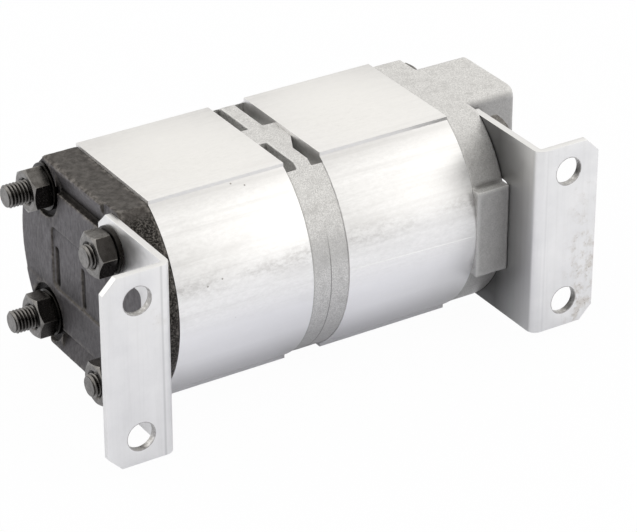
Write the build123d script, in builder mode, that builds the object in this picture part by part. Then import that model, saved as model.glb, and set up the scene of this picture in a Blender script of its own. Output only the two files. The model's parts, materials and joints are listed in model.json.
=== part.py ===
"""Two-section gear flow divider: two gear sections and their covers in one bolted stack.

The stack runs along X, from the closed cover (-X) to the inlet cover (+X). The gears
lie side by side in Y, the inlet gallery runs above them and the outlets open downwards.
The origin is the centre of the four mounting holes, on the outer face of the two
bracket flanges, which face -Y. Lengths are in millimetres.
"""

from build123d import *
import os
from math import acos, cos, pi, radians, sin, sqrt, tan

os.makedirs("parts", exist_ok=True)

# Stack
section_length = 61.5
plate_thickness = 17.0
cover_thickness = 15.5
side_wall = 13.6
cast_step = 0.4
flat_height = 87.0
pad_rise = 1.5
pad_width = 59.2

# Gears
module = 3.0
tooth_count = 12
pressure_angle = 20.0
tooth_addendum = 2.8
root_clearance = 0.4
tooth_embed = 0.8
flank_backlash = 0.16
gear_width = 21.0
tip_clearance = 0.1
journal_radius = 8.0
journal_clearance = 0.04
bush_wall = 1.5
bush_length = 17.0
end_float = 0.05
shaft_end_gap = 0.5

# Coupling between the two driving gears
tongue_width = 5.0
tongue_length = 7.0
tongue_clearance = 0.1
coupling_wall = 1.5
coupling_clearance = 0.2

# Passages
gallery_height = 24.0
gallery_radius = 6.5
chamber_width = 11.0
chamber_length = 15.0
inlet_thread_radius = 13.2
inlet_thread_depth = 18.0
outlet_thread_radius = 10.5
outlet_thread_depth = 15.0
outlet_bore_radius = 7.0
port_chamfer = 1.0

# Tie bolts
tie_spacing_y = 61.0
tie_spacing_z = 58.0
tie_radius = 5.0
tie_tip_reach = 2.6
tie_hole_clearance = 0.5
tie_tip_chamfer = 1.0
hex_across_flats = 17.0
head_height = 6.4
nut_height = 8.0
washer_radius = 10.0
washer_thickness = 2.0
nut_turns = (30.0, 53.0, 54.0, 48.0)
head_turns = (0.0, 25.0, 15.0, 40.0)

# Dowels
dowel_wall = 5.2
dowel_radius = 2.5
dowel_depth = 6.0

# Seals
seal_land = 2.4
seal_width = 2.2
seal_depth = 1.8
seal_side_gap = 0.1
block_seal_land = 1.8
block_seal_width = 2.2
block_seal_depth = 2.0
block_clearance = 0.02

# Bearing blocks
relief_width = 12.0
relief_height = 6.0
relief_reach = 9.5
relief_depth = 2.0

# Closed cover
seat_depth = 2.2
seat_gap = 2.5
bracket_seat_depth = 1.6
bracket_seat_gap = 0.5
valley_land = 2.0
valley_height = 10.0
valley_depth = 3.5
valley_width = 38.0
panel_width = 50.0
panel_height = 28.0
panel_depth = 1.0
panel_fillet = 3.0
flute_count = 2
flute_spacing = 22.0
flute_offset = 11.0
flute_drop = 4.0
flute_length = 18.0
flute_width = 3.0
flute_depth = 1.2
rim_width = 15.0
rim_height = 33.0
rim_step = 0.6
cast_edge = 1.2

# Inlet cover
boss_width = 39.0
boss_drop = 18.5
boss_length = 25.0
boss_fillet = 4.0
side_pad_rise = 0.8
side_pad_height = 39.0

# Centre plate
rib_thickness = 6.6
web_width = 13.8
web_offset = -0.8
web_corner_run = 10.0
pocket_length = 61.0
pocket_depth = 7.5

# Brackets
bracket_thickness = 3.0
bracket_height = 84.0
bracket_reach = 30.0
bracket_bend = 4.0
bracket_free_edge = 19.5
flange_chamfer = 6.0
leg_chamfer = 6.0
notch_height = 40.0
notch_fillet = 3.0
axis_to_flange = 72.5
mount_hole_reach = 15.3
mount_spacing_z = 60.0
mount_hole_radius = 6.0

# Derived sizes
stack_length = 2 * section_length + plate_thickness
bracket_face = (stack_length + 2 * cover_thickness - bracket_seat_depth) / 2
front_face = -bracket_face - bracket_seat_depth
front_joint = front_face + cover_thickness
rear_joint = bracket_face - cover_thickness
plate_start = front_joint + section_length
plate_end = rear_joint - section_length
plate_center = (plate_start + plate_end) / 2
section_centers = {1: front_joint + section_length / 2, 2: rear_joint - section_length / 2}
mount_spacing_x = 2 * (bracket_face + mount_hole_reach)
pad_height = flat_height + 2 * pad_rise
center_distance = module * tooth_count
gear_offset = center_distance / 2
pitch_radius = center_distance / 2
tip_radius = pitch_radius + tooth_addendum
root_radius = center_distance - tip_radius - root_clearance
bore_radius = tip_radius + tip_clearance
housing_radius = gear_offset + bore_radius + side_wall
cast_radius = housing_radius - cast_step
dowel_offset = gear_offset + bore_radius + dowel_wall + dowel_radius
block_seal_radius = bore_radius - block_seal_land - block_seal_width / 2
block_length = (section_length - gear_width) / 2 - end_float
bush_bore = journal_radius + journal_clearance
bush_radius = bush_bore + bush_wall
tie_hole_radius = tie_radius + tie_hole_clearance
tie_length = (2 * (bracket_face + bracket_thickness + washer_thickness)
              + nut_height + tie_tip_reach)
seat_radius = washer_radius + seat_gap
valley_top = flat_height / 2 - valley_land
valley_foot = valley_top - valley_height
boss_height = flat_height / 2 - gallery_height + boss_drop
slot_height = 2 * (journal_radius + tongue_clearance)
slot_width = tongue_width + 2 * tongue_clearance
coupling_radius = sqrt(slot_height**2 + slot_width**2) / 2 + coupling_wall
coupling_length = plate_thickness - 2 * shaft_end_gap
coupling_bore = coupling_radius + coupling_clearance
hex_radius = hex_across_flats / 2 / cos(pi / 6)


def station(x):
    """Plane across the stack at x, centred between the gears, with its own y along Z."""
    return Plane(origin=(x, axis_to_flange, 0), x_dir=(0, 1, 0), z_dir=(1, 0, 0))


def finish(part, name):
    """Label a piece and write it to its own file."""
    part.label = name
    export_step(part, f"parts/{name}.step")


# Shared profiles, drawn about the stack's axis

def housing_outline(radius):
    """Round sides with a flat top and bottom."""
    with BuildSketch() as outline:
        Circle(radius)
        Rectangle(2 * radius, flat_height, mode=Mode.INTERSECT)
    return outline.sketch


def gear_pair(radius):
    """One circle on each gear axis."""
    with BuildSketch() as pair:
        with GridLocations(center_distance, 0, 2, 1):
            Circle(radius)
    return pair.sketch


def tie_holes():
    """The four clearance holes of the tie bolts."""
    with BuildSketch() as holes:
        with GridLocations(tie_spacing_y, tie_spacing_z, 2, 2):
            Circle(tie_hole_radius)
    return holes.sketch


def dowel_holes():
    """One dowel beyond each gear."""
    with BuildSketch() as holes:
        with GridLocations(2 * dowel_offset, 0, 2, 1):
            Circle(dowel_radius)
    return holes.sketch


def gallery():
    """The inlet gallery above the gears."""
    with BuildSketch() as bore:
        with Locations((0, gallery_height)):
            Circle(gallery_radius)
    return bore.sketch


def seal_path(inner_gap, outer_gap):
    """Band around the gear bores and the gallery, between two distances from them."""
    def hull(gap):
        with BuildSketch() as area:
            SlotCenterToCenter(center_distance, 2 * (bore_radius + gap))
            with Locations((0, gallery_height)):
                Circle(gallery_radius + gap)
        return area.sketch

    with BuildSketch() as band:
        add(hull(outer_gap))
        add(hull(inner_gap), mode=Mode.SUBTRACT)
    return band.sketch


def seal_groove():
    return seal_path(seal_land, seal_land + seal_width)


def cut_profile(x, profile, amount):
    """Cut a profile into the part under construction, from station x along X."""
    extrude(station(x) * profile, amount=amount, mode=Mode.SUBTRACT)


# Gear sections

def section_body(center):
    start = center - section_length / 2
    end = center + section_length / 2
    with BuildPart() as body:
        with BuildSketch(station(start)):
            add(housing_outline(housing_radius))
            Rectangle(pad_width, pad_height)
        extrude(amount=section_length)
        cut_profile(start, gear_pair(bore_radius), section_length)
        cut_profile(start, tie_holes(), section_length)
        cut_profile(start, gallery(), section_length)
        cut_profile(start, dowel_holes(), dowel_depth)
        cut_profile(end, dowel_holes(), -dowel_depth)
        with BuildSketch(Plane.XY):
            with Locations((center, axis_to_flange)):
                Rectangle(chamber_length, chamber_width)
        extrude(amount=gallery_height, mode=Mode.SUBTRACT)
        with BuildSketch(Plane.XY.offset(-pad_height / 2)):
            with Locations((center, axis_to_flange)):
                Circle(outlet_thread_radius)
        extrude(amount=outlet_thread_depth, mode=Mode.SUBTRACT)
        mouth = body.faces().sort_by(Axis.Z)[0].inner_wires()[0].edges()
        chamfer(mouth, port_chamfer)
        with BuildSketch(Plane.XY.offset(-pad_height / 2)):
            with Locations((center, axis_to_flange)):
                Circle(outlet_bore_radius)
        extrude(amount=pad_height / 2, mode=Mode.SUBTRACT)
    return body.part


def tooth_half_angle(radius):
    """Half of the tooth's angle at a radius, from the involute of the base circle."""
    def involute(angle):
        return tan(angle) - angle

    base_radius = pitch_radius * cos(radians(pressure_angle))
    at_pitch = pi / (2 * tooth_count) - flank_backlash / (2 * pitch_radius)
    roll = acos(min(1, base_radius / radius))
    return at_pitch + involute(radians(pressure_angle)) - involute(roll)


def gear_profile(turn):
    """Spur gear outline with one tooth at the given angle from +Y."""
    base_radius = pitch_radius * cos(radians(pressure_angle))

    def flank_point(radius, side):
        angle = side * tooth_half_angle(radius)
        return (radius * cos(angle), radius * sin(angle))

    with BuildSketch() as tooth:
        with BuildLine():
            foot = (root_radius - tooth_embed) * cos(tooth_half_angle(base_radius))
            for side in (-1, 1):
                root = (foot, side * foot * tan(tooth_half_angle(base_radius)))
                start = flank_point(base_radius, side)
                middle = flank_point((base_radius + tip_radius) / 2, side)
                tip = flank_point(tip_radius, side)
                Line(root, start)
                ThreePointArc(start, middle, tip)
            Line(flank_point(tip_radius, -1), flank_point(tip_radius, 1))
            Line((foot, -foot * tan(tooth_half_angle(base_radius))),
                 (foot, foot * tan(tooth_half_angle(base_radius))))
        make_face()
    with BuildSketch() as gear:
        Circle(root_radius)
        with PolarLocations(0, tooth_count, start_angle=turn):
            add(tooth.sketch)
    return gear.sketch


def gear_shaft(center, side, turn, tongue_side):
    """Gear and journals in one piece; a driving gear has a tongue towards the plate."""
    start = center - gear_width / 2
    journal_length = (section_length - gear_width) / 2 - shaft_end_gap
    with BuildPart() as shaft:
        with BuildSketch(station(start)):
            with Locations((side * gear_offset, 0)):
                add(gear_profile(turn))
        extrude(amount=gear_width)
        with BuildSketch(station(start - journal_length)):
            with Locations((side * gear_offset, 0)):
                Circle(journal_radius)
        extrude(amount=gear_width + 2 * journal_length)
        if tongue_side:
            shoulder = center + tongue_side * (gear_width / 2 + journal_length)
            reach = tongue_side * (shaft_end_gap * 2 + tongue_length)
            with BuildSketch(station(shoulder)):
                with Locations((side * gear_offset, 0)):
                    Circle(journal_radius)
                    Rectangle(tongue_width, 2 * journal_radius, mode=Mode.INTERSECT)
            extrude(amount=reach)
    return shaft.part


def bearing_block(center, end):
    """Block of two bearings at one end of a section, with seal groove and relief."""
    inner = center + end * (gear_width / 2 + end_float)
    outer = center + end * section_length / 2
    with BuildPart() as block:
        with BuildSketch(station(inner)):
            add(gear_pair(bore_radius - block_clearance))
            add(gear_pair(bush_radius), mode=Mode.SUBTRACT)
        extrude(amount=end * block_length)
        cut_profile(outer, block_seal_path(0), -end * block_seal_depth)
        with BuildSketch(station(inner)):
            with Locations((0, relief_reach), (0, -relief_reach)):
                Rectangle(relief_width, relief_height)
        extrude(amount=end * relief_depth, mode=Mode.SUBTRACT)
    return block.part


def block_seal_path(gap):
    """Two joined arcs around the outlet side of the journals, narrowed by a gap."""
    with BuildSketch() as path:
        add(gear_pair(block_seal_radius + block_seal_width / 2 - gap))
        add(gear_pair(block_seal_radius - block_seal_width / 2 + gap), mode=Mode.SUBTRACT)
        with Locations((0, block_seal_radius)):
            Rectangle(4 * bore_radius, 2 * block_seal_radius, mode=Mode.SUBTRACT)
    return path.sketch


def block_seals(center):
    with BuildPart() as seals:
        for end in (-1, 1):
            with BuildSketch(station(center + end * section_length / 2)):
                add(block_seal_path(seal_side_gap))
            extrude(amount=-end * block_seal_depth)
    return seals.part


def bushes(center):
    """Four plain bearing bushes, flush with the gear side of the blocks."""
    with BuildPart() as rings:
        for end in (-1, 1):
            with BuildSketch(station(center + end * (gear_width / 2 + end_float))):
                add(gear_pair(bush_radius))
                add(gear_pair(bush_bore), mode=Mode.SUBTRACT)
            extrude(amount=end * bush_length)
    return rings.part


for number, center in section_centers.items():
    tongue_side = 1 if number == 1 else -1
    finish(section_body(center), f"section_{number}_body")
    finish(gear_shaft(center, -1, 0, tongue_side), f"section_{number}_drive_gear")
    finish(gear_shaft(center, 1, 180 / tooth_count, 0), f"section_{number}_driven_gear")
    finish(bearing_block(center, -1), f"section_{number}_front_bearing_block")
    finish(bearing_block(center, 1), f"section_{number}_rear_bearing_block")
    finish(bushes(center), f"section_{number}_bushes")
    finish(block_seals(center), f"section_{number}_block_seals")


# Centre plate between the sections
with BuildPart() as center_plate:
    with BuildSketch(station(plate_start)):
        add(housing_outline(cast_radius))
    extrude(amount=plate_thickness)
    cut_profile(plate_start, tie_holes(), plate_thickness)
    cut_profile(plate_start, gallery(), plate_thickness)
    for face, inward in ((plate_start, 1), (plate_end, -1)):
        cut_profile(face, dowel_holes(), inward * dowel_depth)
        cut_profile(face, seal_groove(), inward * seal_depth)
    with BuildSketch(station(plate_start)):
        with Locations((-gear_offset, 0)):
            Circle(coupling_bore)
    extrude(amount=plate_thickness, mode=Mode.SUBTRACT)
    pocket_run = (pocket_length - web_width) / 2
    pocket_width = (plate_thickness - rib_thickness) / 2
    web_center = axis_to_flange + web_offset
    web_edge = web_center - web_width / 2
    with BuildSketch(Plane.XY.offset(flat_height / 2 - pocket_depth)):
        with Locations((plate_center, web_center)):
            with GridLocations(plate_thickness - pocket_width, web_width + pocket_run, 2, 2):
                Rectangle(pocket_width, pocket_run)
        with BuildLine():
            Polyline((plate_end, web_edge), (plate_end - pocket_width, web_edge),
                     (plate_end - pocket_width, web_edge - web_corner_run), close=True)
        make_face(mode=Mode.SUBTRACT)
    pockets = extrude(amount=pocket_depth, mode=Mode.SUBTRACT)
    mirror(pockets, about=Plane.XY, mode=Mode.SUBTRACT)
finish(center_plate.part, "center_plate")


# Sleeve that joins the two driving gears inside the plate
with BuildPart() as shaft_coupling:
    with BuildSketch(station(plate_center - coupling_length / 2)):
        with Locations((-gear_offset, 0)):
            Circle(coupling_radius)
            Rectangle(slot_width, slot_height, mode=Mode.SUBTRACT)
    extrude(amount=coupling_length)
finish(shaft_coupling.part, "shaft_coupling")


# Closed cover at the front end, with seats for the far nuts and for the bracket
with BuildPart() as front_cover:
    with BuildSketch(station(front_face)):
        add(housing_outline(housing_radius))
    extrude(amount=cover_thickness)
    outer_rim = front_cover.faces().sort_by(Axis.X)[0].edges()
    chamfer(outer_rim, cast_edge)
    cut_profile(front_joint, dowel_holes(), -dowel_depth)
    cut_profile(front_joint, seal_groove(), -seal_depth)
    cut_profile(front_face, tie_holes(), cover_thickness)
    with BuildSketch(station(front_face)):
        with GridLocations(0, tie_spacing_z, 1, 2):
            with Locations((tie_spacing_y / 2, 0)):
                Circle(seat_radius)
    extrude(amount=seat_depth, mode=Mode.SUBTRACT)
    with BuildSketch(station(front_face)):
        with Locations((bracket_seat_gap - bracket_free_edge, 0)):
            Rectangle(housing_radius, pad_height, align=(Align.MAX, Align.CENTER))
    extrude(amount=bracket_seat_depth, mode=Mode.SUBTRACT)
    with BuildSketch(Plane.XZ.offset(-axis_to_flange - valley_width / 2)):
        with BuildLine():
            Polyline((front_face, valley_top), (front_face + valley_depth, valley_foot),
                     (front_face, valley_foot), close=True)
        make_face()
    valley = extrude(amount=valley_width, mode=Mode.SUBTRACT)
    mirror(valley, about=Plane.XY, mode=Mode.SUBTRACT)
    with BuildSketch(station(front_face)):
        Circle(housing_radius + cast_edge)
        Circle(housing_radius - rim_width, mode=Mode.SUBTRACT)
        Rectangle(3 * housing_radius, rim_height, mode=Mode.INTERSECT)
    extrude(amount=rim_step, mode=Mode.SUBTRACT)
    with BuildSketch(station(front_face)):
        RectangleRounded(panel_width, panel_height, panel_fillet)
    extrude(amount=panel_depth, mode=Mode.SUBTRACT)
    with BuildSketch(station(front_face + panel_depth)):
        with Locations((flute_offset, -flute_drop)):
            with GridLocations(flute_spacing, 0, flute_count, 1):
                SlotOverall(flute_length, flute_width, rotation=90)
    extrude(amount=flute_depth, mode=Mode.SUBTRACT)
finish(front_cover.part, "front_cover")


# Inlet cover at the rear end
with BuildPart() as rear_cover:
    with BuildSketch(station(rear_joint)):
        add(housing_outline(cast_radius))
        Rectangle(2 * (housing_radius + side_pad_rise), side_pad_height)
    extrude(amount=cover_thickness)
    with BuildSketch(station(rear_joint)):
        with Locations((0, flat_height / 2 - boss_height / 2)):
            RectangleRounded(boss_width, boss_height, boss_fillet)
    extrude(amount=cover_thickness + boss_length)
    cut_profile(rear_joint, dowel_holes(), dowel_depth)
    cut_profile(rear_joint, seal_groove(), seal_depth)
    cut_profile(rear_joint, tie_holes(), cover_thickness)
    cut_profile(rear_joint, gallery(), cover_thickness + boss_length)
    with BuildSketch(station(bracket_face + boss_length)):
        with Locations((0, gallery_height)):
            Circle(inlet_thread_radius)
    extrude(amount=-inlet_thread_depth, mode=Mode.SUBTRACT)
    mouth = rear_cover.faces().sort_by(Axis.X)[-1].inner_wires()[0].edges()
    chamfer(mouth, port_chamfer)
finish(rear_cover.part, "rear_cover")


# Seals between the housings
def housing_seal(x, depth):
    with BuildPart() as seal:
        with BuildSketch(station(x)):
            add(seal_path(seal_land + seal_side_gap, seal_land + seal_width - seal_side_gap))
        extrude(amount=depth)
    return seal.part


finish(housing_seal(front_joint, -seal_depth), "front_cover_seal")
finish(housing_seal(plate_start, seal_depth), "plate_front_seal")
finish(housing_seal(plate_end, -seal_depth), "plate_rear_seal")
finish(housing_seal(rear_joint, seal_depth), "rear_cover_seal")


# Dowel pins across the four joints of the stack
with BuildPart() as dowel_pins:
    for joint in (front_joint, plate_start, plate_end, rear_joint):
        with BuildSketch(station(joint - dowel_depth)):
            add(dowel_holes())
        extrude(amount=2 * dowel_depth)
finish(dowel_pins.part, "dowel_pins")


# Mounting brackets: bent plates held under the heads and nuts of the -Y tie bolts
with BuildPart() as front_bracket:
    leg_start = -bracket_free_edge + axis_to_flange
    with BuildSketch(Plane.XY.offset(-bracket_height / 2)):
        with BuildLine():
            Polyline((-bracket_face, leg_start), (-bracket_face, 0),
                     (-bracket_face - bracket_reach, 0),
                     (-bracket_face - bracket_reach, bracket_thickness),
                     (-bracket_face - bracket_thickness, bracket_thickness),
                     (-bracket_face - bracket_thickness, leg_start), close=True)
        make_face()
    extrude(amount=bracket_height)
    outer_edges, inner_edges = front_bracket.edges().filter_by(Axis.Z).group_by(Axis.Y)[:2]
    outside = outer_edges.sort_by(Axis.X)[-1]
    inside = inner_edges.sort_by(Axis.X)[-1]
    fillet(outside, bracket_bend)
    fillet(inside, bracket_bend - bracket_thickness)
    flange_corners = front_bracket.edges().filter_by(Axis.Y).group_by(Axis.X)[0]
    chamfer(flange_corners, flange_chamfer)
    leg_corners = front_bracket.edges().filter_by(Axis.X).group_by(Axis.Y)[-1]
    chamfer(leg_corners, leg_chamfer)
    with BuildSketch(station(-bracket_face)):
        notch_depth = housing_radius - bracket_free_edge
        with Locations((notch_depth - housing_radius, 0)):
            RectangleRounded(2 * notch_depth, notch_height, notch_fillet)
        with GridLocations(0, tie_spacing_z, 1, 2):
            with Locations((-tie_spacing_y / 2, 0)):
                Circle(tie_hole_radius)
    extrude(amount=-bracket_thickness, mode=Mode.SUBTRACT)
    with BuildSketch(Plane.XZ):
        with GridLocations(0, mount_spacing_z, 1, 2):
            with Locations((-mount_spacing_x / 2, 0)):
                Circle(mount_hole_radius)
    extrude(amount=-bracket_thickness, mode=Mode.SUBTRACT)
finish(front_bracket.part, "front_bracket")

with BuildPart() as rear_bracket:
    mirror(front_bracket.part, about=Plane.YZ)
finish(rear_bracket.part, "rear_bracket")


# Tie bolts, one beside each gear journal, with the seats of their heads and nuts
def ties():
    """Each tie bolt's place, its two seats, and the turn of its nut and head."""
    places = [(side * tie_spacing_y / 2, level * tie_spacing_z / 2)
              for side in (1, -1) for level in (1, -1)]
    for index, place in enumerate(places):
        if place[0] < 0:
            nut_seat = -bracket_face - bracket_thickness
            head_seat = bracket_face + bracket_thickness
        else:
            nut_seat = front_face + seat_depth
            head_seat = bracket_face
        yield place, nut_seat, head_seat, nut_turns[index], head_turns[index]


with BuildPart() as tie_bolts:
    for place, nut_seat, head_seat, nut_turn, head_turn in ties():
        under_head = head_seat + washer_thickness
        with BuildSketch(station(under_head)):
            with Locations(place):
                RegularPolygon(hex_radius, 6, rotation=head_turn)
        extrude(amount=head_height)
        with BuildSketch(station(under_head)):
            with Locations(place):
                Circle(tie_radius)
        extrude(amount=-tie_length)
    chamfer(tie_bolts.edges().filter_by(GeomType.CIRCLE).filter_by(
        lambda edge: edge.center().X < front_face), tie_tip_chamfer)
finish(tie_bolts.part, "tie_bolts")

with BuildPart() as tie_nuts:
    for place, nut_seat, head_seat, nut_turn, head_turn in ties():
        with BuildSketch(station(nut_seat - washer_thickness)):
            with Locations(place):
                RegularPolygon(hex_radius, 6, rotation=nut_turn)
                Circle(tie_radius, mode=Mode.SUBTRACT)
        extrude(amount=-nut_height)
finish(tie_nuts.part, "tie_nuts")

with BuildPart() as nut_washers:
    for place, nut_seat, head_seat, nut_turn, head_turn in ties():
        with BuildSketch(station(nut_seat)):
            with Locations(place):
                Circle(washer_radius)
                Circle(tie_hole_radius, mode=Mode.SUBTRACT)
        extrude(amount=-washer_thickness)
finish(nut_washers.part, "nut_washers")

with BuildPart() as head_washers:
    for place, nut_seat, head_seat, nut_turn, head_turn in ties():
        with BuildSketch(station(head_seat)):
            with Locations(place):
                Circle(washer_radius)
                Circle(tie_hole_radius, mode=Mode.SUBTRACT)
        extrude(amount=washer_thickness)
finish(head_washers.part, "head_washers")
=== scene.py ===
"""Looks of the gear flow divider: cast, extruded, plated and blackened pieces around the CAD frame.

Lengths are in metres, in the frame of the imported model: X along the stack, the mounting
flanges face -Y, and the gear axes lie at z = 0.
"""
import json
import math

import bmesh
import bpy
import numpy as np
from mathutils import Matrix, Vector, noise


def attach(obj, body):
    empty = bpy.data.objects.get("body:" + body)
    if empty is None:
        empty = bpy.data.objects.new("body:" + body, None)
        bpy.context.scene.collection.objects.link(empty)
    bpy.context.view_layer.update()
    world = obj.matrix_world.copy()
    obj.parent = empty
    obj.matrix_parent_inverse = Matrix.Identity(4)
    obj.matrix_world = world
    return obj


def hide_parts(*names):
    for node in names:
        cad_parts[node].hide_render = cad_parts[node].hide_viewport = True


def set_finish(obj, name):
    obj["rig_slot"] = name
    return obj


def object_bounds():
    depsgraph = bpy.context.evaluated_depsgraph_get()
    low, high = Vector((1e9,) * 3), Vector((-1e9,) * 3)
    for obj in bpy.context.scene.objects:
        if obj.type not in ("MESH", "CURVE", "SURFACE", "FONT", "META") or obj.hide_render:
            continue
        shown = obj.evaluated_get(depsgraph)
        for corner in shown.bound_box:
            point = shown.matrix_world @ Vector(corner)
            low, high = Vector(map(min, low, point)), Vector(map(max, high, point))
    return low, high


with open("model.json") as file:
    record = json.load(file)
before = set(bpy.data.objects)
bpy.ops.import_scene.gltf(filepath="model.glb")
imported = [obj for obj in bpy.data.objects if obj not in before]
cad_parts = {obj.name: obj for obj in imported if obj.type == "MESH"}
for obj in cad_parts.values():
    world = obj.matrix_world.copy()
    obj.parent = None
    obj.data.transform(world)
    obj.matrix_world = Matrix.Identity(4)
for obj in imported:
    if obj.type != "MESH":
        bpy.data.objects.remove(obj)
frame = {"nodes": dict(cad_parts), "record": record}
cad_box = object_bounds()

MM = 0.001
WELD = 0.002 * MM
TOUCH = 0.01 * MM
SHARP = math.radians(32)
COPLANAR = math.radians(0.5)

# Castings: voxel size, softened edges, and the cast skin, with its share and what machined faces lose
VOXEL = 0.50 * MM
PLATE_VOXEL = 0.35 * MM
SOFTENING = 2
PLATE_SOFTENING = 1
GRAIN_HEIGHT = 0.06 * MM
GRAIN_SCALE = 520
WAVE_HEIGHT = 0.10 * MM
WAVE_SCALE = 95
IRON_SKIN = (1, 0.85)
ALUMINIUM_SKIN = (0.6, 0.5)
MACHINED_TURN = 0.9
HOLLOW_ROUNDS = 40
SEAM_PLACE = -0.8 * MM
JOINT_PLACES = (-9.3 * MM, 69.2 * MM)

# Bevels of the machined bodies and the bent brackets
BODY_BEVEL = 0.18 * MM
BRACKET_BEVEL = 0.35 * MM

# Fasteners
HEX_STEPS = 96
ROUND_STEPS = 48
HEAD_TO_SHANK = 1.2
HEX_CHAMFER_SHARE = 0.95
HEX_CHAMFER_SLOPE = math.tan(math.radians(30))
HEX_SHARP = math.radians(24)
CORNER_SHARE = 0.98
BORE_CHAMFER = 1.0 * MM
TIE_RADIUS = 4.97 * MM
TIE_PITCH = 1.5 * MM
TIE_THREAD = 0.85 * MM
TIE_THREAD_LENGTH = 26 * MM
WASHER_HOLE = 5.5 * MM
WASHER_EDGE = 0.35 * MM
WASHER_CUT = 0.3 * WASHER_EDGE
STEPS_PER_PITCH = 6
FLANK_SLOPE = 1.3
CREST_WIDTH = 0.15

# Pipe threads of the ports
PORT_PITCH = 1.814 * MM
PORT_THREAD = 1.1 * MM
PORT_WALL = 0.3 * MM
PORT_RUN_OUT = 1.2 * MM

AXIS_Y = 72.5 * MM

# Where a finish and where painted light and shade change: each pair gives the place where the change
# starts and where it is full
# Bodies: heights on the side for painted light and shade, the pad's far part painted lighter, and a darker
# band along the side
PAINTED_LIGHT_LOW_SIDE = (2 * MM, -8 * MM)
PAINTED_SHADE_UNDERSIDE = (-20 * MM, -34 * MM)
PAINTED_SHADE_UPPER_EDGE = (37 * MM, 42.5 * MM)
PAINTED_LIGHT_FAR_PAD = (60 * MM, 118 * MM)
BODY_BAND = 14 * MM
BODY_BAND_EDGE = (7 * MM, 0.5 * MM)

# Castings: the centre plate's band, its bottom in painted shade, reach and seam, painted shade at the
# joints, and painted shade on the rear cover's sides
PLATE_BAND = 12 * MM
PLATE_BAND_EDGE = (9 * MM, 3 * MM)
PAINTED_SHADE_PLATE_BOTTOM = (-16 * MM, -30 * MM)
PLATE_REACH = (30 * MM, 20 * MM)
SEAM_EDGE = (0.32 * MM, 0.10 * MM)
SEAM_TOP = (24 * MM, 8 * MM)
JOINT_SHADE_EDGE = (0.95 * MM, 0.45 * MM)
REAR_COVER_SHADE = (67 * MM, 70 * MM)

# Brackets: the outer, lower part of the rear flange, painted shade on the rear leg, a line of painted
# shade beside the bend, and painted shade in a hole's wall
STAINED_OUT = (98 * MM, 106 * MM)
STAINED_DOWN = (20 * MM, -10 * MM)
SHADED_REAR_LEG = (0, 50 * MM)
LEG_DEPTH = (5 * MM, 27 * MM)
BEND_LINE = 89.5 * MM
BEND_LINE_EDGE = (0.7 * MM, 0.2 * MM)
BEND_LINE_REACH = (-50 * MM, 50 * MM)
HOLE_PLACE = (0.100, 0, 0.030)
SHADED_HOLE_WALL = (6.45 * MM, 6.25 * MM)

# Closed cover: its rough side with painted shade, the lower face in painted shade, and painted shade round
# the nuts
ROUGH_SHADED_SIDE = (31 * MM, 35 * MM)
SHADED_LOWER_FACE = (0, -18 * MM)
NUT_SHADE_EDGE = (18 * MM, 10.5 * MM)

# Marks on the near sides: small spots on the first section and a scratch along the second
DARK_SPOTS = ((-0.0288, 0.0404, 0.0415), (-0.0341, 0.0422, 0.0428),
              (-0.0502, 0.0220, 0.0143), (-0.0570, 0.0216, 0.0130))
SPOT_EDGE = (0.5 * MM, 0.2 * MM)
SCRATCH_HEIGHT = 2.3 * MM
SCRATCH_SLANT = 0.034
SCRATCH_EDGE = (0.20 * MM, -0.20 * MM)
SCRATCH_START = (3 * MM, 4 * MM)

# Camera
CAMERA_PLACE = (-0.57506, -0.88566, 0.60094)
CAMERA_TARGET = (0.01413, 0.05400, -0.01396)
CAMERA_LENS = 173.83
CAMERA_REACH = 100

# Floor: its gap below the object, and how white the camera and reflections see it
FLOOR_SIZE = 12.0
FLOOR_GAP = 0.1 * MM
FLOOR_COLOUR = (0.76, 0.77, 0.82, 1)
FLOOR_WHITE = 0.97
FLOOR_FADE = (0.0, 0.18)
FLOOR_GLOW = 0.48

# One lamp, and soft lights in the world: the way to each and its strength
KEY_PLACE = (-0.4, -0.8, 1.3)
KEY_SIZE = (1.0, 0.8)
KEY_POWER = 1
LIGHT_SPREAD = (0.2, 1.0)
SOFT_LIGHTS = (((-0.30, 0.80, 0.50), 1.0), ((0.95, -0.10, 0.30), 1.3),
               ((-0.80, 0.00, 0.60), 0.95), ((0.30, -0.95, 0.10), 0.60))


# Mesh helpers

def new_piece(name, mesh, slot, *nodes):
    """Link a mesh as a piece of the housing that stands for CAD nodes."""
    mesh.name = name
    piece = bpy.data.objects.new(name, mesh)
    bpy.context.scene.collection.objects.link(piece)
    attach(piece, "housing")
    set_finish(piece, slot)
    if nodes:
        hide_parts(*nodes)
    return piece


def welded(node):
    """A bmesh of a CAD node with its doubled vertices joined."""
    build = bmesh.new()
    build.from_mesh(frame["nodes"][node].data)
    bmesh.ops.remove_doubles(build, verts=build.verts, dist=WELD)
    return build


def mesh_from(build, sharp=SHARP):
    """Close a bmesh into a mesh with smooth shading that breaks at sharp edges."""
    mesh = bpy.data.meshes.new("mesh")
    build.to_mesh(mesh)
    build.free()
    mesh.shade_smooth()
    mesh.set_sharp_from_angle(angle=sharp)
    return mesh


def machined(node, slot, width):
    """The CAD node with a fine bevel along its edges."""
    build = welded(node)
    bmesh.ops.dissolve_limit(build, angle_limit=COPLANAR, verts=build.verts, edges=build.edges)
    sharp = [edge for edge in build.edges if edge.is_manifold and edge.calc_face_angle() > SHARP]
    bmesh.ops.bevel(build, geom=sharp, offset=width, offset_type="OFFSET", segments=2,
                    profile=0.6, affect="EDGES", clamp_overlap=True)
    bmesh.ops.triangulate(build, faces=[face for face in build.faces if len(face.verts) > 4])
    return new_piece(f"{node}_finish", mesh_from(build), slot, node)


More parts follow.
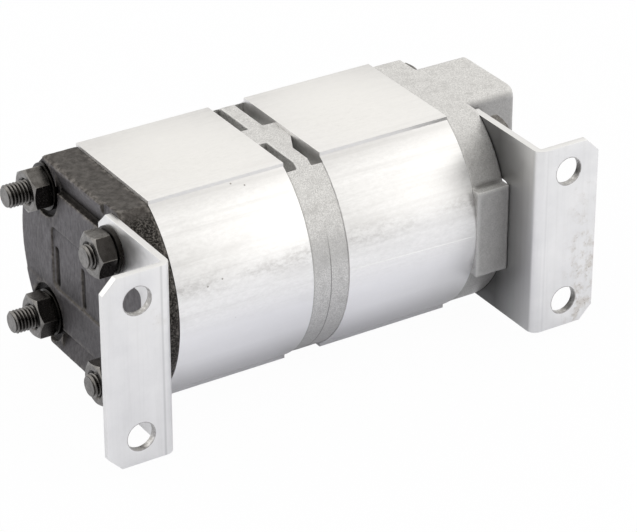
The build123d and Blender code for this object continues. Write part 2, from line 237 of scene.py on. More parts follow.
def mark_hollows(mesh, points, normals):
    """Note at each point how deep it lies in a hollow; edges that stand out are negative."""
    ends = np.zeros(len(mesh.edges) * 2, dtype=np.int32)
    mesh.edges.foreach_get("vertices", ends)
    first, second = ends.reshape(-1, 2).T
    count = len(points)
    links = np.bincount(first, minlength=count) + np.bincount(second, minlength=count)
    smooth = points.copy()
    for _ in range(HOLLOW_ROUNDS):
        for axis in range(3):
            line = smooth[:, axis]
            smooth[:, axis] = (np.bincount(first, line[second], count)
                               + np.bincount(second, line[first], count)) / links
    depth = ((smooth - points) * normals).sum(1) / MM
    mesh.attributes.new("hollow", "FLOAT", "POINT").data.foreach_set("value", depth)


def casting(node, slot, skin_shares, voxel=VOXEL, softening=SOFTENING):
    """The CAD node with softened edges and a cast skin, less of it on machined faces."""
    build = welded(node)
    piece = new_piece(f"{node}_casting", mesh_from(build), slot, node)
    remesh = piece.modifiers.new("remesh", "REMESH")
    remesh.mode = "VOXEL"
    remesh.voxel_size = voxel
    soften = piece.modifiers.new("soften", "SMOOTH")
    soften.iterations = softening
    graph = bpy.context.evaluated_depsgraph_get()
    mesh = bpy.data.meshes.new_from_object(piece.evaluated_get(graph))
    piece.modifiers.clear()
    piece.data = mesh

    points = np.zeros(len(mesh.vertices) * 3)
    normals = np.zeros(len(mesh.vertices) * 3)
    mesh.vertices.foreach_get("co", points)
    mesh.vertices.foreach_get("normal", normals)
    points = points.reshape(-1, 3)
    normals = normals.reshape(-1, 3)
    skin = np.array([GRAIN_HEIGHT * noise.noise(Vector(point) * GRAIN_SCALE)
                     + WAVE_HEIGHT * noise.noise(Vector(point) * WAVE_SCALE) for point in points])
    share, machined_loss = skin_shares
    skin *= share - machined_loss * (np.abs(normals[:, 0]) > MACHINED_TURN)
    mark_hollows(mesh, points, normals)
    points = np.clip(points + normals * skin[:, None], *cad_box)
    mesh.vertices.foreach_set("co", points.ravel())
    mesh.shade_smooth()
    mesh.update()
    return piece


def skin_rows(build, rows, looped=False, capped=False):
    """Quads between rows of points; each row closes on itself."""
    rings = [[build.verts.new(point) for point in row] for row in rows]
    if capped:
        build.faces.new(rings[0])
        build.faces.new(rings[-1])
    if looped:
        rings.append(rings[0])
    for lower, upper in zip(rings, rings[1:]):
        for i in range(len(lower)):
            build.faces.new((lower[i - 1], lower[i], upper[i], upper[i - 1]))
    bmesh.ops.recalc_face_normals(build, faces=build.faces)


def ring(place, steps, station, first=0.0):
    """Points round the X axis through place; station gives (x, radius) at each turn."""
    points = []
    for step in range(steps):
        turn = first + 2 * math.pi * step / steps
        x, radius = station(turn)
        points.append((x, place[0] + radius * math.cos(turn), place[1] + radius * math.sin(turn)))
    return points


def islands(node):
    """The separate solids of a CAD node, as arrays of their points, in the same order each run."""
    build = welded(node)
    left = set(build.verts)
    groups = []
    while left:
        stack = [left.pop()]
        group = []
        while stack:
            vert = stack.pop()
            group.append(vert.co[:])
            fresh = [end for edge in vert.link_edges for end in edge.verts if end in left]
            left.difference_update(fresh)
            stack.extend(set(fresh))
        groups.append(np.array(sorted(group)))
    build.free()
    return sorted(groups, key=lambda group: tuple(group.mean(0)))


def hexagon(points):
    """Centre, size over the corners and corner angle of a hexagonal solid along X."""
    centre = (points.min(0) + points.max(0))[1:] / 2
    offsets = points[:, 1:] - centre
    reach = np.hypot(*offsets.T)
    corner = offsets[reach.argmax()]
    return centre, reach.max(), math.atan2(corner[1], corner[0])


def hex_radius(corner_radius, corner_turn, turn):
    """Radius of the hexagon's side at a turn."""
    inside = (turn - corner_turn) % (math.pi / 3) - math.pi / 6
    return corner_radius * math.cos(math.pi / 6) / math.cos(inside)


def hex_rows(centre, corner_radius, corner_turn, start, end):
    """Rows of a hexagonal prism along X with a cone chamfer at both ends."""
    flat = corner_radius * math.cos(math.pi / 6) * HEX_CHAMFER_SHARE
    sign = math.copysign(1, end - start)

    def side(turn, face, inward):
        reach = hex_radius(corner_radius, corner_turn, turn)
        return face + inward * (reach - flat) * HEX_CHAMFER_SLOPE, reach

    stations = (lambda turn: (start, flat), lambda turn: side(turn, start, sign),
                lambda turn: side(turn, end, -sign), lambda turn: (end, flat))
    return [ring(centre, HEX_STEPS, station, corner_turn) for station in stations]


def shade(piece, axes, depth):
    """Note each point's depth; depth takes x, the radius and the number of the nearest axis."""
    mesh = piece.data
    points = np.zeros(len(mesh.vertices) * 3)
    mesh.vertices.foreach_get("co", points)
    points = points.reshape(-1, 3)
    reach = np.array([np.hypot(*(points[:, 1:] - axis).T) for axis in axes])
    values = depth(points[:, 0], reach.min(axis=0), reach.argmin(axis=0))
    mesh.attributes.new("hollow", "FLOAT", "POINT").data.foreach_set("value", values)


def thread_height(x, turn, pitch):
    """Share of the thread's depth below its crest, at a point of the helix."""
    phase = (x / pitch - turn / (2 * math.pi)) % 1
    return min(1, max(0, FLANK_SLOPE * abs(2 * phase - 1) - CREST_WIDTH))


# Fasteners

def tie_nuts():
    """Chamfered hexagon nuts with countersunk bores."""
    build = bmesh.new()
    axes, corners = [], []
    for points in islands("tie_nuts"):
        centre, corner_radius, corner_turn = hexagon(points)
        axes.append(centre)
        corners.append(CORNER_SHARE * corner_radius)
        start, end = points[:, 0].min(), points[:, 0].max()
        rows = hex_rows(centre, corner_radius, corner_turn, start, end)
        bore = [(start, TIE_RADIUS + BORE_CHAMFER), (start + BORE_CHAMFER, TIE_RADIUS),
                (end - BORE_CHAMFER, TIE_RADIUS), (end, TIE_RADIUS + BORE_CHAMFER)]
        for station in reversed(bore):
            rows.append(ring(centre, HEX_STEPS, lambda turn, station=station: station, corner_turn))
        skin_rows(build, rows, looped=True)
    piece = new_piece("tie_nuts_finish", mesh_from(build, HEX_SHARP), "black_steel", "tie_nuts")
    corners = np.array(corners)
    # 1 in the bore marks painted shade; -1 at the corners marks wear
    shade(piece, axes, lambda x, radius, number: (radius < TIE_RADIUS + TOUCH).astype(float)
          - (radius > corners[number]))


def tie_bolts():
    """Hexagon heads, plain shanks and threaded ends with a chamfered tip."""
    build = bmesh.new()
    axes, tips, corners = [], [], []
    for points in islands("tie_bolts"):
        centre, corner_radius, corner_turn = hexagon(points)
        tip, end = points[:, 0].min(), points[:, 0].max()
        axes.append(centre)
        tips.append(tip)
        corners.append(CORNER_SHARE * corner_radius)
        in_head = np.hypot(*(points[:, 1:] - centre).T) > HEAD_TO_SHANK * TIE_RADIUS
        start = points[in_head, 0].min()
        skin_rows(build, hex_rows(centre, corner_radius, corner_turn, start, end), capped=True)

        def threaded(x, turn):
            depth = TIE_THREAD * thread_height(x, turn, TIE_PITCH)
            chamfered = TIE_RADIUS - TIE_THREAD + (x - tip)
            return x, min(TIE_RADIUS - depth, chamfered)

        count = round(TIE_THREAD_LENGTH / TIE_PITCH * STEPS_PER_PITCH)
        rows = [ring(centre, ROUND_STEPS, lambda turn, x=x: threaded(x, turn))
                for x in tip + np.linspace(0, TIE_THREAD_LENGTH, count)]
        for x in (tip + TIE_THREAD_LENGTH + TIE_PITCH, start):
            rows.append(ring(centre, ROUND_STEPS, lambda turn, x=x: (x, TIE_RADIUS)))
        skin_rows(build, rows, capped=True)
    piece = new_piece("tie_bolts_finish", mesh_from(build, HEX_SHARP), "black_steel", "tie_bolts")
    tips, corners = np.array(tips), np.array(corners)
    # the thread roots get up to 1 for painted shade; -1 at the corners marks wear
    shade(piece, axes, lambda x, radius, number: (x > tips[number] + TIE_PITCH)
          * np.clip((TIE_RADIUS - radius) / TIE_THREAD, 0, 1) - (radius > corners[number]))


def washers(node):
    """Flat rings with a rounded outer edge."""
    build = bmesh.new()
    axes = []
    for points in islands(node):
        low, high = points.min(0), points.max(0)
        centre = (low + high)[1:] / 2
        axes.append(centre)
        radius = (high - low)[1] / 2
        outline = [(low[0], WASHER_HOLE), (low[0], radius - WASHER_EDGE),
                   (low[0] + WASHER_CUT, radius - WASHER_CUT), (low[0] + WASHER_EDGE, radius),
                   (high[0] - WASHER_EDGE, radius), (high[0] - WASHER_CUT, radius - WASHER_CUT),
                   (high[0], radius - WASHER_EDGE), (high[0], WASHER_HOLE)]
        rows = [ring(centre, HEX_STEPS, lambda turn, station=station: station) for station in outline]
        skin_rows(build, rows, looped=True)
    piece = new_piece(f"{node}_finish", mesh_from(build), "black_steel", node)
    # 1 everywhere, so the washers are painted near black as shade
    shade(piece, axes, lambda x, radius, number: np.ones(len(x)))


def port_thread(name, mount_name, slot):
    """The female pipe thread of a port, as a ring in the wall of its bore."""
    mount = next(row for row in frame["record"]["mounts"] if row["name"] == mount_name)
    radius = mount["dims"]["r_mm"] * MM
    half = mount["dims"]["length_mm"] * MM / 2

    def crest(x, turn):
        fade = min(1, (half - abs(x)) / PORT_RUN_OUT)
        return x, radius - PORT_THREAD * fade * (1 - thread_height(x, turn, PORT_PITCH))

    count = round(2 * half / PORT_PITCH * STEPS_PER_PITCH)
    rows = [ring((0, 0), HEX_STEPS, lambda turn, x=x: crest(x, turn))
            for x in np.linspace(-half, half, count)]
    for x in (half, -half):
        rows.append(ring((0, 0), HEX_STEPS, lambda turn, x=x: (x, radius + PORT_WALL)))
    build = bmesh.new()
    skin_rows(build, rows, looped=True)
    to_axis = Vector((1, 0, 0)).rotation_difference(Vector(mount["axis"]))
    build.transform(Matrix.Translation(mount["pos_m"]) @ to_axis.to_matrix().to_4x4())
    return new_piece(name, mesh_from(build), slot)


# Material helpers

def add(tree, kind, inputs, **settings):
    """A shader node with its settings; an input is a value or another node's output."""
    node = tree.nodes.new(kind)
    for name, value in settings.items():
        setattr(node, name, value)
    for name, value in inputs.items():
        if isinstance(value, bpy.types.NodeSocket):
            tree.links.new(value, node.inputs[name])
        else:
            node.inputs[name].default_value = value
    return node


def start_material(name):
    """An empty material, its node tree and the coordinates in the object's frame."""
    material = bpy.data.materials.new(name)
    material.use_nodes = True
    tree = material.node_tree
    tree.nodes.clear()
    place = add(tree, "ShaderNodeTexCoord", {}).outputs["Object"]
    return material, tree, place


def stretched(tree, place, scale):
    """Coordinates scaled on each axis, for patterns drawn out along one of them."""
    return add(tree, "ShaderNodeMapping", {"Vector": place, "Scale": scale}).outputs["Vector"]


def speckle(tree, place, scale, detail=3, roughness=0.6):
    """Noise from 0 to 1."""
    inputs = {"Vector": place, "Scale": scale, "Detail": detail, "Roughness": roughness}
    return add(tree, "ShaderNodeTexNoise", inputs).outputs["Fac"]


def spread(tree, value, low, high, to_low=0.0, to_high=1.0):
    """A value's range from low to high, mapped and clamped to another range."""
    inputs = {"Value": value, "From Min": low, "From Max": high, "To Min": to_low, "To Max": to_high}
    return add(tree, "ShaderNodeMapRange", inputs).outputs["Result"]


def blend_colours(tree, share, first, second):
    """The first colour, with a share of the second laid over it."""
    node = add(tree, "ShaderNodeMix", {}, data_type="RGBA")
    sockets = node.inputs["Factor"], node.inputs[6], node.inputs[7]
    for socket, value in zip(sockets, (share, first, second)):
        if isinstance(value, bpy.types.NodeSocket):
            tree.links.new(value, socket)
        else:
            socket.default_value = value if isinstance(value, float) else (*value, 1)
    return node.outputs[2]


def combine(tree, operation, first, second):
    """One step of arithmetic on values or outputs."""
    node = add(tree, "ShaderNodeMath", {}, operation=operation)
    for socket, value in zip(node.inputs, (first, second)):
        if isinstance(value, bpy.types.NodeSocket):
            tree.links.new(value, socket)
        else:
            socket.default_value = value
    return node.outputs[0]


def times(tree, first, second):
    """The product of two values or outputs."""
    return combine(tree, "MULTIPLY", first, second)


def apart(tree, value, place):
    """How far a value lies from a place on its axis, to either side."""
    return combine(tree, "ABSOLUTE", combine(tree, "SUBTRACT", value, place), 0.0)


def far_from(tree, place, point):
    """The distance of each place from a point."""
    return add(tree, "ShaderNodeVectorMath", {0: place, 1: point}, operation="DISTANCE").outputs["Value"]


def hollow_depth(tree):
    """What was noted at each point: above 0 in a hollow, below 0 where an edge stands out."""
    return add(tree, "ShaderNodeAttribute", {}, attribute_name="hollow").outputs["Fac"]


def facing(tree, axis):
    """How squarely the surface faces along an axis: 0 sideways, 1 full."""
    normal = add(tree, "ShaderNodeNewGeometry", {}).outputs["Normal"]
    part = add(tree, "ShaderNodeSeparateXYZ", {"Vector": normal}).outputs[axis]
    return combine(tree, "ABSOLUTE", part, 0.0)


def bump(tree, height, distance, strength=1.0, under=None):
    """Fine relief in the shading, laid over another relief if one is given."""
    inputs = {"Height": height, "Distance": distance, "Strength": strength}
    if under is not None:
        inputs["Normal"] = under
    return add(tree, "ShaderNodeBump", inputs).outputs["Normal"]


def finish_material(tree, colour, roughness, normal, metallic=1.0):
    """Put the shader together and join it to the output."""
    shader = add(tree, "ShaderNodeBsdfPrincipled", {"Base Color": colour, "Metallic": metallic,
                                                    "Roughness": roughness, "Normal": normal})
    output = add(tree, "ShaderNodeOutputMaterial", {})
    tree.links.new(shader.outputs["BSDF"], output.inputs["Surface"])


# Materials

def extruded_aluminium():
    """Bright drawn aluminium: satin grain, fine lines and smudges along it, pitted and duller flats;
    painted light and shade by height on the side, and a lighter far pad.
    """
    material, tree, place = start_material("extruded_aluminium")
    along, across, height = add(tree, "ShaderNodeSeparateXYZ", {"Vector": place}).outputs
    grain = speckle(tree, stretched(tree, place, (420, 900, 900)), 1, 3, 0.7)
    drawn = speckle(tree, stretched(tree, place, (5, 420, 420)), 1, 3, 0.6)
    smudge = speckle(tree, stretched(tree, place, (30, 90, 90)), 1, 5, 0.65)
    patch = speckle(tree, stretched(tree, place, (420, 700, 700)), 1, 4, 0.7)
    pits = speckle(tree, stretched(tree, place, (260, 420, 420)), 1, 1)
    flat = spread(tree, facing(tree, "Z"), 0.985, 0.999)
    side = blend_colours(tree, spread(tree, grain, 0.35, 0.65), (0.87, 0.868, 0.863), (0.95, 0.948, 0.944))
    side = blend_colours(tree, spread(tree, drawn, 0.48, 0.72, 0, 0.32), side, (0.68, 0.675, 0.665))
    side = blend_colours(tree, spread(tree, smudge, 0.50, 0.75, 0, 0.4), side, (0.68, 0.67, 0.66))
    # painted light: the lower side is lighter, standing in for a brighter reflection there
    side = blend_colours(tree, spread(tree, height, *PAINTED_LIGHT_LOW_SIDE, 0, 0.85), side, (0.97, 0.97, 0.985))
    # painted shade: the side darkens towards the bottom, standing in for the shaded floor it reflects
    side = blend_colours(tree, spread(tree, height, *PAINTED_SHADE_UNDERSIDE, 0, 0.75), side, (0.64, 0.635, 0.64))
    # painted shade: a darker band just below the pad's edge, where the fillet turns from the light
    side = blend_colours(tree, spread(tree, height, *PAINTED_SHADE_UPPER_EDGE, 0, 0.4), side, (0.56, 0.55, 0.54))
    off = apart(tree, height, BODY_BAND)
    band = times(tree, spread(tree, off, *BODY_BAND_EDGE), spread(tree, smudge, 0.36, 0.56))
    band = times(tree, band, spread(tree, patch, 0.42, 0.60, 0.10, 0.55))
    side = blend_colours(tree, band, side, (0.50, 0.49, 0.475))
    top = blend_colours(tree, spread(tree, grain, 0.3, 0.7), (0.75, 0.745, 0.73), (0.81, 0.805, 0.79))
    top = blend_colours(tree, spread(tree, patch, 0.58, 0.72, 0, 0.35), top, (0.62, 0.61, 0.59))
    # painted light: the pad is lighter towards its far part, standing in for the change of reflection
    # across it
    top = blend_colours(tree, spread(tree, across, *PAINTED_LIGHT_FAR_PAD), top, (0.87, 0.865, 0.85))
    colour = blend_colours(tree, flat, side, top)
    colour = blend_colours(tree, spread(tree, pits, 0.84, 0.88, 0, 0.7), colour, (0.30, 0.29, 0.28))
    for point in DARK_SPOTS:
        off = far_from(tree, place, point)
        colour = blend_colours(tree, spread(tree, off, *SPOT_EDGE, 0, 0.8), colour, (0.16, 0.14, 0.12))
    slant = combine(tree, "ADD", height, times(tree, along, SCRATCH_SLANT))
    off = combine(tree, "SUBTRACT", slant, SCRATCH_HEIGHT)
    scratch = times(tree, spread(tree, off, *SCRATCH_EDGE), spread(tree, along, *SCRATCH_START))
    roughness = spread(tree, grain, 0.3, 0.7, 0.34, 0.48)
    normal = bump(tree, scratch, 0.10 * MM)
    normal = bump(tree, drawn, 0.03 * MM, 0.6, normal)
    normal = bump(tree, grain, 0.03 * MM, 0.6, normal)
    finish_material(tree, colour, roughness, normal)
    return material


def cast_aluminium():
    """Grey cast aluminium: a grainy skin, painted shade in hollows, at the joints and towards the plate's
    bottom, and darker painted shade on the rear cover's sides.
    """
    material, tree, place = start_material("cast_aluminium")
    hollow = hollow_depth(tree)
    parts = add(tree, "ShaderNodeSeparateXYZ", {"Vector": place}).outputs
    sideways = facing(tree, "Y")
    grain = speckle(tree, place, 1800, 3, 0.7)
    mottle = speckle(tree, place, 260, 4)
    stain = speckle(tree, place, 45, 4)
    colour = blend_colours(tree, spread(tree, grain, 0.38, 0.62),
                           (0.51, 0.506, 0.498), (0.77, 0.766, 0.755))
    colour = blend_colours(tree, spread(tree, mottle, 0.5, 0.75, 0, 0.5), colour, (0.42, 0.415, 0.405))
    colour = blend_colours(tree, spread(tree, stain, 0.55, 0.8, 0, 0.35), colour, (0.70, 0.70, 0.69))
    # a darker band at mid-height, and painted shade towards the plate's bottom
    off = apart(tree, parts["Z"], PLATE_BAND)
    bottom = spread(tree, parts["Z"], *PAINTED_SHADE_PLATE_BOTTOM)
    low = combine(tree, "MAXIMUM", spread(tree, off, *PLATE_BAND_EDGE), bottom)
    low = times(tree, low, spread(tree, parts["X"], *PLATE_REACH, 0, 0.35))
    colour = blend_colours(tree, low, colour, (0.38, 0.375, 0.37))
    # painted shade: the rear cover's sides are darker, standing in for the shaded bracket and floor they
    # reflect
    rear_side_shade = times(tree, spread(tree, parts["X"], *REAR_COVER_SHADE), spread(tree, sideways, 0.65, 0.95))
    colour = blend_colours(tree, times(tree, rear_side_shade, 0.55), colour, (0.28, 0.275, 0.27))
    seam = apart(tree, parts["X"], SEAM_PLACE)
    seam = times(tree, spread(tree, seam, *SEAM_EDGE), spread(tree, parts["Z"], *SEAM_TOP))
    seam = times(tree, seam, spread(tree, sideways, 0.3, 0.5, 0, 0.7))
    colour = blend_colours(tree, seam, colour, (0.14, 0.135, 0.13))
    # painted shade: dark strips at the joints with the bodies, where the crevices fall in shadow
    for joint in JOINT_PLACES:
        off = apart(tree, parts["X"], joint)
        colour = blend_colours(tree, spread(tree, off, *JOINT_SHADE_EDGE, 0, 0.35), colour, (0.12, 0.115, 0.11))
    colour = blend_colours(tree, spread(tree, hollow, -0.25, -0.70, 0, 0.25), colour, (0.82, 0.82, 0.81))
    # painted shade: darker where the surface lies in a hollow
    colour = blend_colours(tree, spread(tree, hollow, 0.08, 0.60, 0, 0.7), colour, (0.10, 0.095, 0.09))
    roughness = spread(tree, grain, 0.3, 0.7, 0.42, 0.62)
    normal = bump(tree, mottle, 0.14 * MM, 0.7)
    normal = bump(tree, grain, 0.10 * MM, 1.0, normal)
    finish_material(tree, colour, roughness, normal)
    return material


def zinc_plate():
    """Bright zinc plate with soft clouding, upright marks and a few specks; painted shade on the rear leg,
    on upward edges, beside the bend and in the hole walls.
    """
    material, tree, place = start_material("zinc_plate")
    parts = add(tree, "ShaderNodeSeparateXYZ", {"Vector": place}).outputs
    cloud = speckle(tree, place, 60, 4, 0.65)
    upright = speckle(tree, stretched(tree, place, (500, 500, 14)), 1, 3)
    wear = speckle(tree, place, 650, 5, 0.7)
    patch = speckle(tree, place, 30, 2)
    cluster = speckle(tree, place, 190, 3)
    outer = times(tree, spread(tree, parts["X"], *STAINED_OUT), spread(tree, parts["Z"], *STAINED_DOWN))
    patches = combine(tree, "MAXIMUM", spread(tree, patch, 0.64, 0.76, 0, 0.3), outer)
    clustered = times(tree, facing(tree, "Y"), spread(tree, cluster, 0.48, 0.62))
    patches = times(tree, patches, clustered)
    specks = times(tree, spread(tree, wear, 0.55, 0.62), patches)
    colour = blend_colours(tree, spread(tree, cloud, 0.3, 0.7), (0.80, 0.80, 0.80), (0.885, 0.883, 0.882))
    colour = blend_colours(tree, spread(tree, upright, 0.5, 0.75, 0, 0.3), colour, (0.70, 0.70, 0.69))
    colour = blend_colours(tree, times(tree, patches, 0.45), colour, (0.50, 0.45, 0.38))
    colour = blend_colours(tree, times(tree, specks, 0.7), colour, (0.24, 0.19, 0.14))
    # painted shade: the rear leg's faces along X are darker, standing in for the shaded parts they reflect
    leg = times(tree, spread(tree, facing(tree, "X"), 0.90, 0.98), spread(tree, parts["X"], *SHADED_REAR_LEG))
    leg = times(tree, leg, spread(tree, parts["Y"], *LEG_DEPTH, 0.36, 1.0))
    colour = blend_colours(tree, leg, colour, (0.14, 0.14, 0.14))
    # painted shade: faces turned up, the sheet's edges, are darker to tone down their light
    edge = spread(tree, facing(tree, "Z"), 0.7, 0.95, 0, 0.4)
    colour = blend_colours(tree, edge, colour, (0.58, 0.58, 0.57))
    folded = add(tree, "ShaderNodeVectorMath", {0: place}, operation="ABSOLUTE").outputs["Vector"]
    outward = add(tree, "ShaderNodeSeparateXYZ", {"Vector": folded}).outputs["X"]
    front = spread(tree, facing(tree, "Y"), 0.90, 0.98)
    # painted shade: a grey line beside the bend, where its radius turns from the light
    bend_shade = apart(tree, outward, BEND_LINE)
    bend_shade = times(tree, spread(tree, bend_shade, *BEND_LINE_EDGE), front)
    bend_shade = times(tree, bend_shade, spread(tree, parts["X"], *BEND_LINE_REACH, 0.45, 0.15))
    colour = blend_colours(tree, bend_shade, colour, (0.52, 0.52, 0.52))
    # painted shade: darker hole walls, broken up by the wear noise
    hole = far_from(tree, stretched(tree, folded, (1, 0, 1)), HOLE_PLACE)
    wall = times(tree, spread(tree, hole, *SHADED_HOLE_WALL), spread(tree, wear, 0.36, 0.52, 0.35, 0.85))
    colour = blend_colours(tree, wall, colour, (0.30, 0.29, 0.28))
    roughness = spread(tree, cloud, 0.3, 0.7, 0.32, 0.46)
    normal = bump(tree, upright, 0.015 * MM, 0.5)
    finish_material(tree, colour, roughness, normal)
    return material


def black_iron():
    """Blackened cast iron: even on the outer face, rough and speckled on the side, which also carries
    painted shade; painted shade in the hollows, low on the face and round the nuts.
    """
    material, tree, place = start_material("black_iron")
    hollow = hollow_depth(tree)
    grain = speckle(tree, place, 1500, 4, 0.7)
    lumps = speckle(tree, place, 420, 4, 0.65)
    upright = speckle(tree, stretched(tree, place, (700, 900, 320)), 1, 3)
    cloud = speckle(tree, place, 60, 3)
    face = spread(tree, facing(tree, "X"), 0.80, 0.95)
    _, across, height = add(tree, "ShaderNodeSeparateXYZ", {"Vector": place}).outputs
    out = apart(tree, across, AXIS_Y)
    # the side's speckle is the rough skin; its near-black base is painted shade
    side = times(tree, spread(tree, facing(tree, "Y"), 0.30, 0.60), spread(tree, out, *ROUGH_SHADED_SIDE))
    skin = blend_colours(tree, spread(tree, lumps, 0.35, 0.65),
                         (0.056, 0.051, 0.047), (0.114, 0.106, 0.099))
    rough = blend_colours(tree, spread(tree, grain, 0.46, 0.68),
                          (0.012, 0.011, 0.010), (0.175, 0.164, 0.152))
    smooth = blend_colours(tree, spread(tree, upright, 0.35, 0.65),
                           (0.104, 0.099, 0.104), (0.166, 0.160, 0.168))
    smooth = blend_colours(tree, spread(tree, cloud, 0.50, 0.70, 0, 0.5), smooth, (0.080, 0.076, 0.079))
    # painted shade: the face darkens towards its bottom, standing in for the shaded floor it reflects
    smooth = blend_colours(tree, spread(tree, height, *SHADED_LOWER_FACE, 0, 0.32), smooth, (0.060, 0.057, 0.058))
    colour = blend_colours(tree, side, blend_colours(tree, face, skin, smooth), rough)
    flat_place = stretched(tree, place, (0, 1, 1))
    # painted shade: dark rings round the nuts on the outer face, broken up by the cloud noise
    for washer in islands("nut_washers"):
        off = far_from(tree, flat_place, (0, *washer.mean(0)[1:]))
        nut_shade = times(tree, spread(tree, off, *NUT_SHADE_EDGE), spread(tree, cloud, 0.35, 0.60, 0.35, 0.85))
        colour = blend_colours(tree, times(tree, nut_shade, face), colour, (0.020, 0.018, 0.018))
    worn = times(tree, spread(tree, hollow, -0.14, -0.50), spread(tree, lumps, 0.45, 0.62, 0, 0.4))
    colour = blend_colours(tree, worn, colour, (0.30, 0.28, 0.26))
    # painted shade: near black where the surface lies in a hollow
    colour = blend_colours(tree, spread(tree, hollow, 0.08, 0.80, 0, 0.9), colour, (0.006, 0.006, 0.006))
    roughness = spread(tree, grain, 0.3, 0.7, 0.42, 0.60)
    normal = bump(tree, lumps, 0.20 * MM, 0.7)
    normal = bump(tree, grain, 0.06 * MM, 0.7, normal)
    finish_material(tree, colour, roughness, normal)
    return material


def black_steel():
    """Oiled black oxide: greyer ends and darker flanks as painted light and shade, near-black painted
    shade on flanks facing along Y, worn corners, and painted shade in the threads, the nut bores and on
    the washers.
    """
    material, tree, place = start_material("black_steel")
    hollow = hollow_depth(tree)
    mottle = speckle(tree, place, 400, 4, 0.65)
    fine = speckle(tree, place, 1600, 2)
    mark = spread(tree, mottle, 0.35, 0.65)
    end = blend_colours(tree, mark, (0.16, 0.155, 0.148), (0.26, 0.252, 0.242))
    flank = blend_colours(tree, mark, (0.105, 0.099, 0.092), (0.19, 0.182, 0.172))
    # painted light and shade: ends greyer and flanks darker by the way they face
    colour = blend_colours(tree, spread(tree, facing(tree, "X"), 0.6, 0.9), flank, end)
    # painted shade: flanks facing along Y go near black
    sideways = spread(tree, facing(tree, "Y"), 0.45, 0.80, 0, 0.8)
    colour = blend_colours(tree, sideways, colour, (0.016, 0.014, 0.013))
    worn = times(tree, spread(tree, hollow, -0.45, -1.0), spread(tree, mottle, 0.38, 0.58, 0.1, 0.6))
    colour = blend_colours(tree, worn, colour, (0.46, 0.44, 0.41))
    # painted shade: near black in thread roots, nut bores and on the washers
    colour = blend_colours(tree, spread(tree, hollow, 0.25, 0.85, 0, 0.85), colour, (0.010, 0.009, 0.008))
    roughness = spread(tree, fine, 0.3, 0.7, 0.24, 0.38)
    normal = bump(tree, mottle, 0.03 * MM, 0.5)
    finish_material(tree, colour, roughness, normal)
    return material


def mottled(name, low, high, metallic, gloss, marks):
    """Even finish with a fine mottle: low and high colour, and low and high roughness."""
    material, tree, place = start_material(name)
    mottle = speckle(tree, place, marks, 4, 0.65)
    fine = speckle(tree, place, 4 * marks, 2)
    colour = blend_colours(tree, spread(tree, mottle, 0.35, 0.65), low, high)
    roughness = spread(tree, fine, 0.3, 0.7, *gloss)
    normal = bump(tree, fine, 0.02 * MM, 0.5)
    finish_material(tree, colour, roughness, normal, metallic)
    return material


def make_materials():
    """One material for each slot of the record."""
    return {
        "extruded_aluminium": extruded_aluminium(),
        "cast_aluminium": cast_aluminium(),
        "zinc_plate": zinc_plate(),
        "black_iron": black_iron(),
        "black_steel": black_steel(),
        "gear_steel": mottled("gear_steel", (0.46, 0.46, 0.47), (0.58, 0.58, 0.59),
                              1.0, (0.16, 0.26), 500),
        "block_aluminium": mottled("block_aluminium", (0.66, 0.66, 0.66), (0.78, 0.78, 0.77),
                                   1.0, (0.28, 0.40), 350),
        "bush_bronze": mottled("bush_bronze", (0.52, 0.34, 0.17), (0.66, 0.45, 0.24),
                               1.0, (0.24, 0.36), 450),
        "seal_rubber": mottled("seal_rubber", (0.016, 0.016, 0.016), (0.030, 0.030, 0.030),
                               0.0, (0.50, 0.66), 600),
    }


# Build

casting("front_cover", "black_iron", IRON_SKIN)
casting("center_plate", "cast_aluminium", ALUMINIUM_SKIN, PLATE_VOXEL, PLATE_SOFTENING)
casting("rear_cover", "cast_aluminium", ALUMINIUM_SKIN)
machined("section_1_body", "extruded_aluminium", BODY_BEVEL)
machined("section_2_body", "extruded_aluminium", BODY_BEVEL)
machined("front_bracket", "zinc_plate", BRACKET_BEVEL)
machined("rear_bracket", "zinc_plate", BRACKET_BEVEL)
tie_nuts()
tie_bolts()
washers("nut_washers")
washers("head_washers")
port_thread("inlet_thread", "inlet_port", "cast_aluminium")
port_thread("section_1_outlet_thread", "section_1_outlet", "extruded_aluminium")
port_thread("section_2_outlet_thread", "section_2_outlet", "extruded_aluminium")

materials = make_materials()
slot_of_node = {row["node"]: row["material_slot"] for row in frame["record"]["subparts"]}
for piece in [piece for piece in bpy.context.scene.objects if piece.type == "MESH"]:
    slot = piece.get("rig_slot") or slot_of_node[piece.name]
    if not piece.material_slots:
        piece.data.materials.append(materials[slot])
    for material_slot in piece.material_slots:
        material_slot.material = materials[slot]


# Stage, light and camera

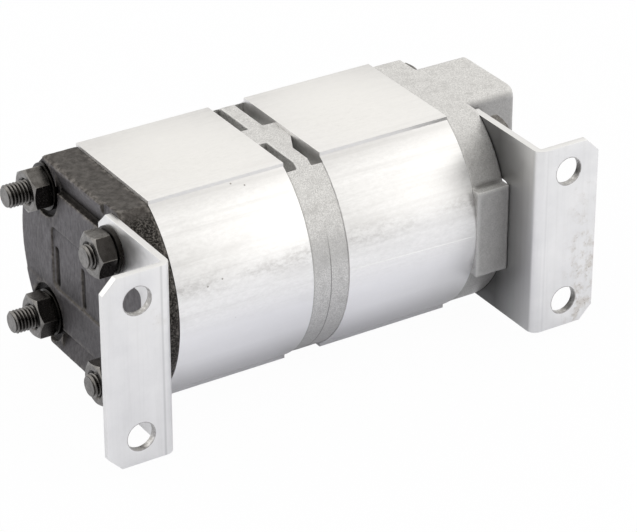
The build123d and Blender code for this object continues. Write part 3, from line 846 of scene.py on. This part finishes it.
def make_floor():
    """A plain white floor that keeps the object's shadow, and hides nothing from below."""
    mesh = bpy.data.meshes.new("floor")
    half = FLOOR_SIZE / 2
    corners = [(-half, -half, 0), (half, -half, 0), (half, half, 0), (-half, half, 0)]
    mesh.from_pydata(corners, [], [(0, 1, 2, 3)])
    floor = bpy.data.objects.new("floor", mesh)
    floor.location = (0, 0, cad_box[0].z - FLOOR_GAP)
    bpy.context.scene.collection.objects.link(floor)
    material = bpy.data.materials.new("floor")
    material.use_nodes = True
    tree = material.node_tree
    tree.nodes.clear()
    ray = add(tree, "ShaderNodeLightPath", {})
    lit = add(tree, "ShaderNodeBsdfDiffuse", {"Color": FLOOR_COLOUR})
    glow = add(tree, "ShaderNodeEmission", {"Color": (1, 1, 1, 1), "Strength": 1.0})
    place = add(tree, "ShaderNodeTexCoord", {}).outputs["Object"]
    distance = add(tree, "ShaderNodeVectorMath", {"Vector": place}, operation="LENGTH").outputs["Value"]
    glow_share = spread(tree, distance, *FLOOR_FADE, 0, FLOOR_GLOW)
    reflected = times(tree, ray.outputs["Is Glossy Ray"], glow_share)
    share = combine(tree, "MAXIMUM", reflected, times(tree, ray.outputs["Is Camera Ray"], FLOOR_WHITE))
    mix = add(tree, "ShaderNodeMixShader", {"Fac": share, 1: lit.outputs[0], 2: glow.outputs[0]})
    below = add(tree, "ShaderNodeNewGeometry", {}).outputs["Backfacing"]
    clear = add(tree, "ShaderNodeBsdfTransparent", {})
    shown = add(tree, "ShaderNodeMixShader", {"Fac": below, 1: mix.outputs[0], 2: clear.outputs[0]})
    output = add(tree, "ShaderNodeOutputMaterial", {})
    tree.links.new(shown.outputs[0], output.inputs["Surface"])
    mesh.materials.append(material)


def make_world():
    """White behind the object, and soft lights on the object from a few sides."""
    world = bpy.data.worlds.new("studio")
    world.use_nodes = True
    tree = world.node_tree
    tree.nodes.clear()
    direction = add(tree, "ShaderNodeTexCoord", {}).outputs["Generated"]
    level = 0.0
    for way, strength in SOFT_LIGHTS:
        towards = add(tree, "ShaderNodeVectorMath", {0: direction, 1: way}, operation="DOT_PRODUCT")
        lobe = spread(tree, towards.outputs["Value"], *LIGHT_SPREAD, 0, strength)
        level = combine(tree, "ADD", lobe, level)
    seen = add(tree, "ShaderNodeLightPath", {}).outputs["Is Camera Ray"]
    colour = blend_colours(tree, seen, (1.0, 0.985, 0.96), (1.0, 1.0, 1.0))
    strength = combine(tree, "MAXIMUM", level, seen)
    background = add(tree, "ShaderNodeBackground", {"Color": colour, "Strength": strength})
    output = add(tree, "ShaderNodeOutputWorld", {})
    tree.links.new(background.outputs[0], output.inputs["Surface"])
    bpy.context.scene.world = world


def area_light(name, place, target, size, power):
    """A rectangular lamp at a place, aimed at a target."""
    light = bpy.data.lights.new(name, "AREA")
    light.shape = "RECTANGLE"
    light.size, light.size_y = size
    light.energy = power
    lamp = bpy.data.objects.new(name, light)
    lamp.location = place
    lamp.rotation_euler = (Vector(target) - Vector(place)).to_track_quat("-Z", "Y").to_euler()
    bpy.context.scene.collection.objects.link(lamp)


def make_camera():
    """The camera that sees the object as it was pictured."""
    camera = bpy.data.cameras.new("camera")
    camera.lens = CAMERA_LENS
    camera.clip_end = CAMERA_REACH
    eye = bpy.data.objects.new("camera", camera)
    eye.location = CAMERA_PLACE
    aim = Vector(CAMERA_TARGET) - Vector(CAMERA_PLACE)
    eye.rotation_euler = aim.to_track_quat("-Z", "Y").to_euler()
    bpy.context.scene.collection.objects.link(eye)
    bpy.context.scene.camera = eye


middle = (cad_box[0] + cad_box[1]) / 2
make_floor()
make_world()
area_light("key", middle + Vector(KEY_PLACE), middle, KEY_SIZE, KEY_POWER)
make_camera()

bpy.context.scene.view_settings.view_transform = "Standard"
